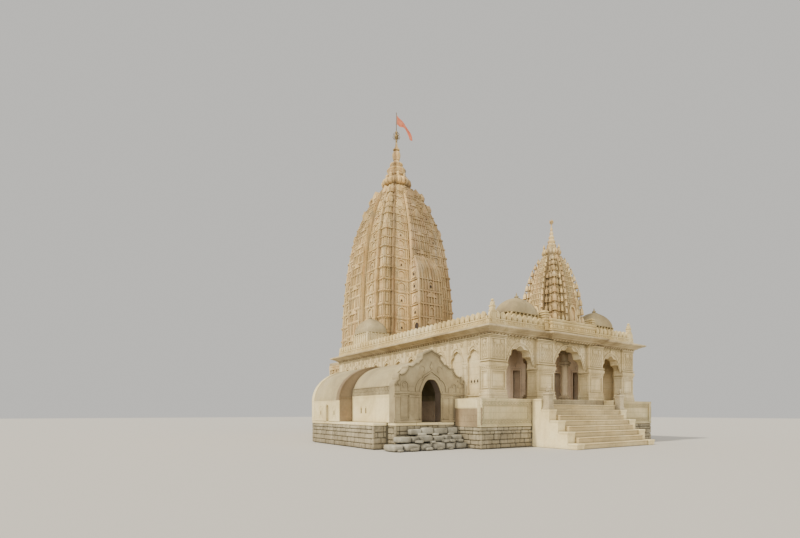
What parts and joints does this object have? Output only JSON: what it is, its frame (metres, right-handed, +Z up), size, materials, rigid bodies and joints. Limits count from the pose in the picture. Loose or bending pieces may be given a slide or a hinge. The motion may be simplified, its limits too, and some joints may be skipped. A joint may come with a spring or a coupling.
{
  "type": "hindu temple",
  "caption": "Hall temple on a high plinth with a tall curved spire, a small porch spire, cusped arches, stone steps and barrel-vaulted side chambers",
  "frame": {"origin": "On the underside of the plinth, at the centre of the hall's plan; z = 0 is the lowest ground, at the foot of the steps.", "axes": "+Z up; the entrance front with its three arches and steps faces -Y; +X is to the right seen from the front, so the side chambers are on -X."},
  "size_m": [22.13, 29.1403, 32.1],
  "materials": {
    "hall_plaster": "weathered lime plaster, cream where lit",
    "plinth_stone": "dressed and rubble masonry, grey-olive, stained",
    "roof_plaster": "lime plaster, brownish grey with rain streaks",
    "spire_stone": "carved plastered masonry, ochre with grey-green streaks",
    "chamber_plaster": "limewash, pale cream, patched",
    "portal_plaster": "lime plaster in shade tone, brown-grey",
    "vault_plaster": "lime plaster roof, grey-brown streaks",
    "step_stone": "worn sandstone treads",
    "carved_stone": "carved sandstone",
    "gilt_metal": "dull gilded metal, weathered",
    "pole_wood": "bare weathered pole",
    "flag_cloth": "plain cotton, faded orange-red"
  },
  "bodies": {
    "root": {"chamber_inner_wall": "chamber_plaster", "chamber_plinth": "plinth_stone", "chamber_wall_front": "chamber_plaster", "chamber_wall_rear": "chamber_plaster", "eave_front": "roof_plaster", "eave_left": "roof_plaster", "eave_right": "roof_plaster", "flagpole": "pole_wood", "front_arch_left": "hall_plaster", "front_arch_middle": "hall_plaster", "front_arch_right": "hall_plaster", "front_pier_1": "hall_plaster", "front_pier_2": "hall_plaster", "front_pier_3": "hall_plaster", "front_pier_4": "hall_plaster", "great_spire": "spire_stone", "great_spire_crown": "spire_stone", "great_spire_finial": "gilt_metal", "inner_wall": "hall_plaster", "kiosk_front_left": "vault_plaster", "kiosk_front_right": "vault_plaster", "kiosk_rear_left": "vault_plaster", "kiosk_rear_right": "vault_plaster", "left_wall": "hall_plaster", "parapet_front": "hall_plaster", "parapet_left": "hall_plaster", "parapet_right": "hall_plaster", "pennant": "flag_cloth", "plinth": "plinth_stone", "porch_column_1": "carved_stone", "porch_column_2": "carved_stone", "portal_gable": "portal_plaster", "portal_pier_inner": "portal_plaster", "portal_pier_outer": "portal_plaster", "portal_steps": "plinth_stone", "rear_chamber_end_wall": "chamber_plaster", "rear_chamber_front_wall": "portal_plaster", "right_wall": "hall_plaster", "roof_slab": "roof_plaster", "sanctum_wall_back": "spire_stone", "sanctum_wall_front": "hall_plaster", "sanctum_wall_left": "spire_stone", "sanctum_wall_right": "spire_stone", "small_spire": "spire_stone", "small_spire_base": "hall_plaster", "small_spire_crown": "spire_stone", "step_post_left": "carved_stone", "step_post_right": "carved_stone", "step_wall_left": "step_stone", "step_wall_right": "step_stone", "steps": "step_stone", "vault_front": "vault_plaster", "vault_rear": "vault_plaster"}
  },
  "joints": []
}
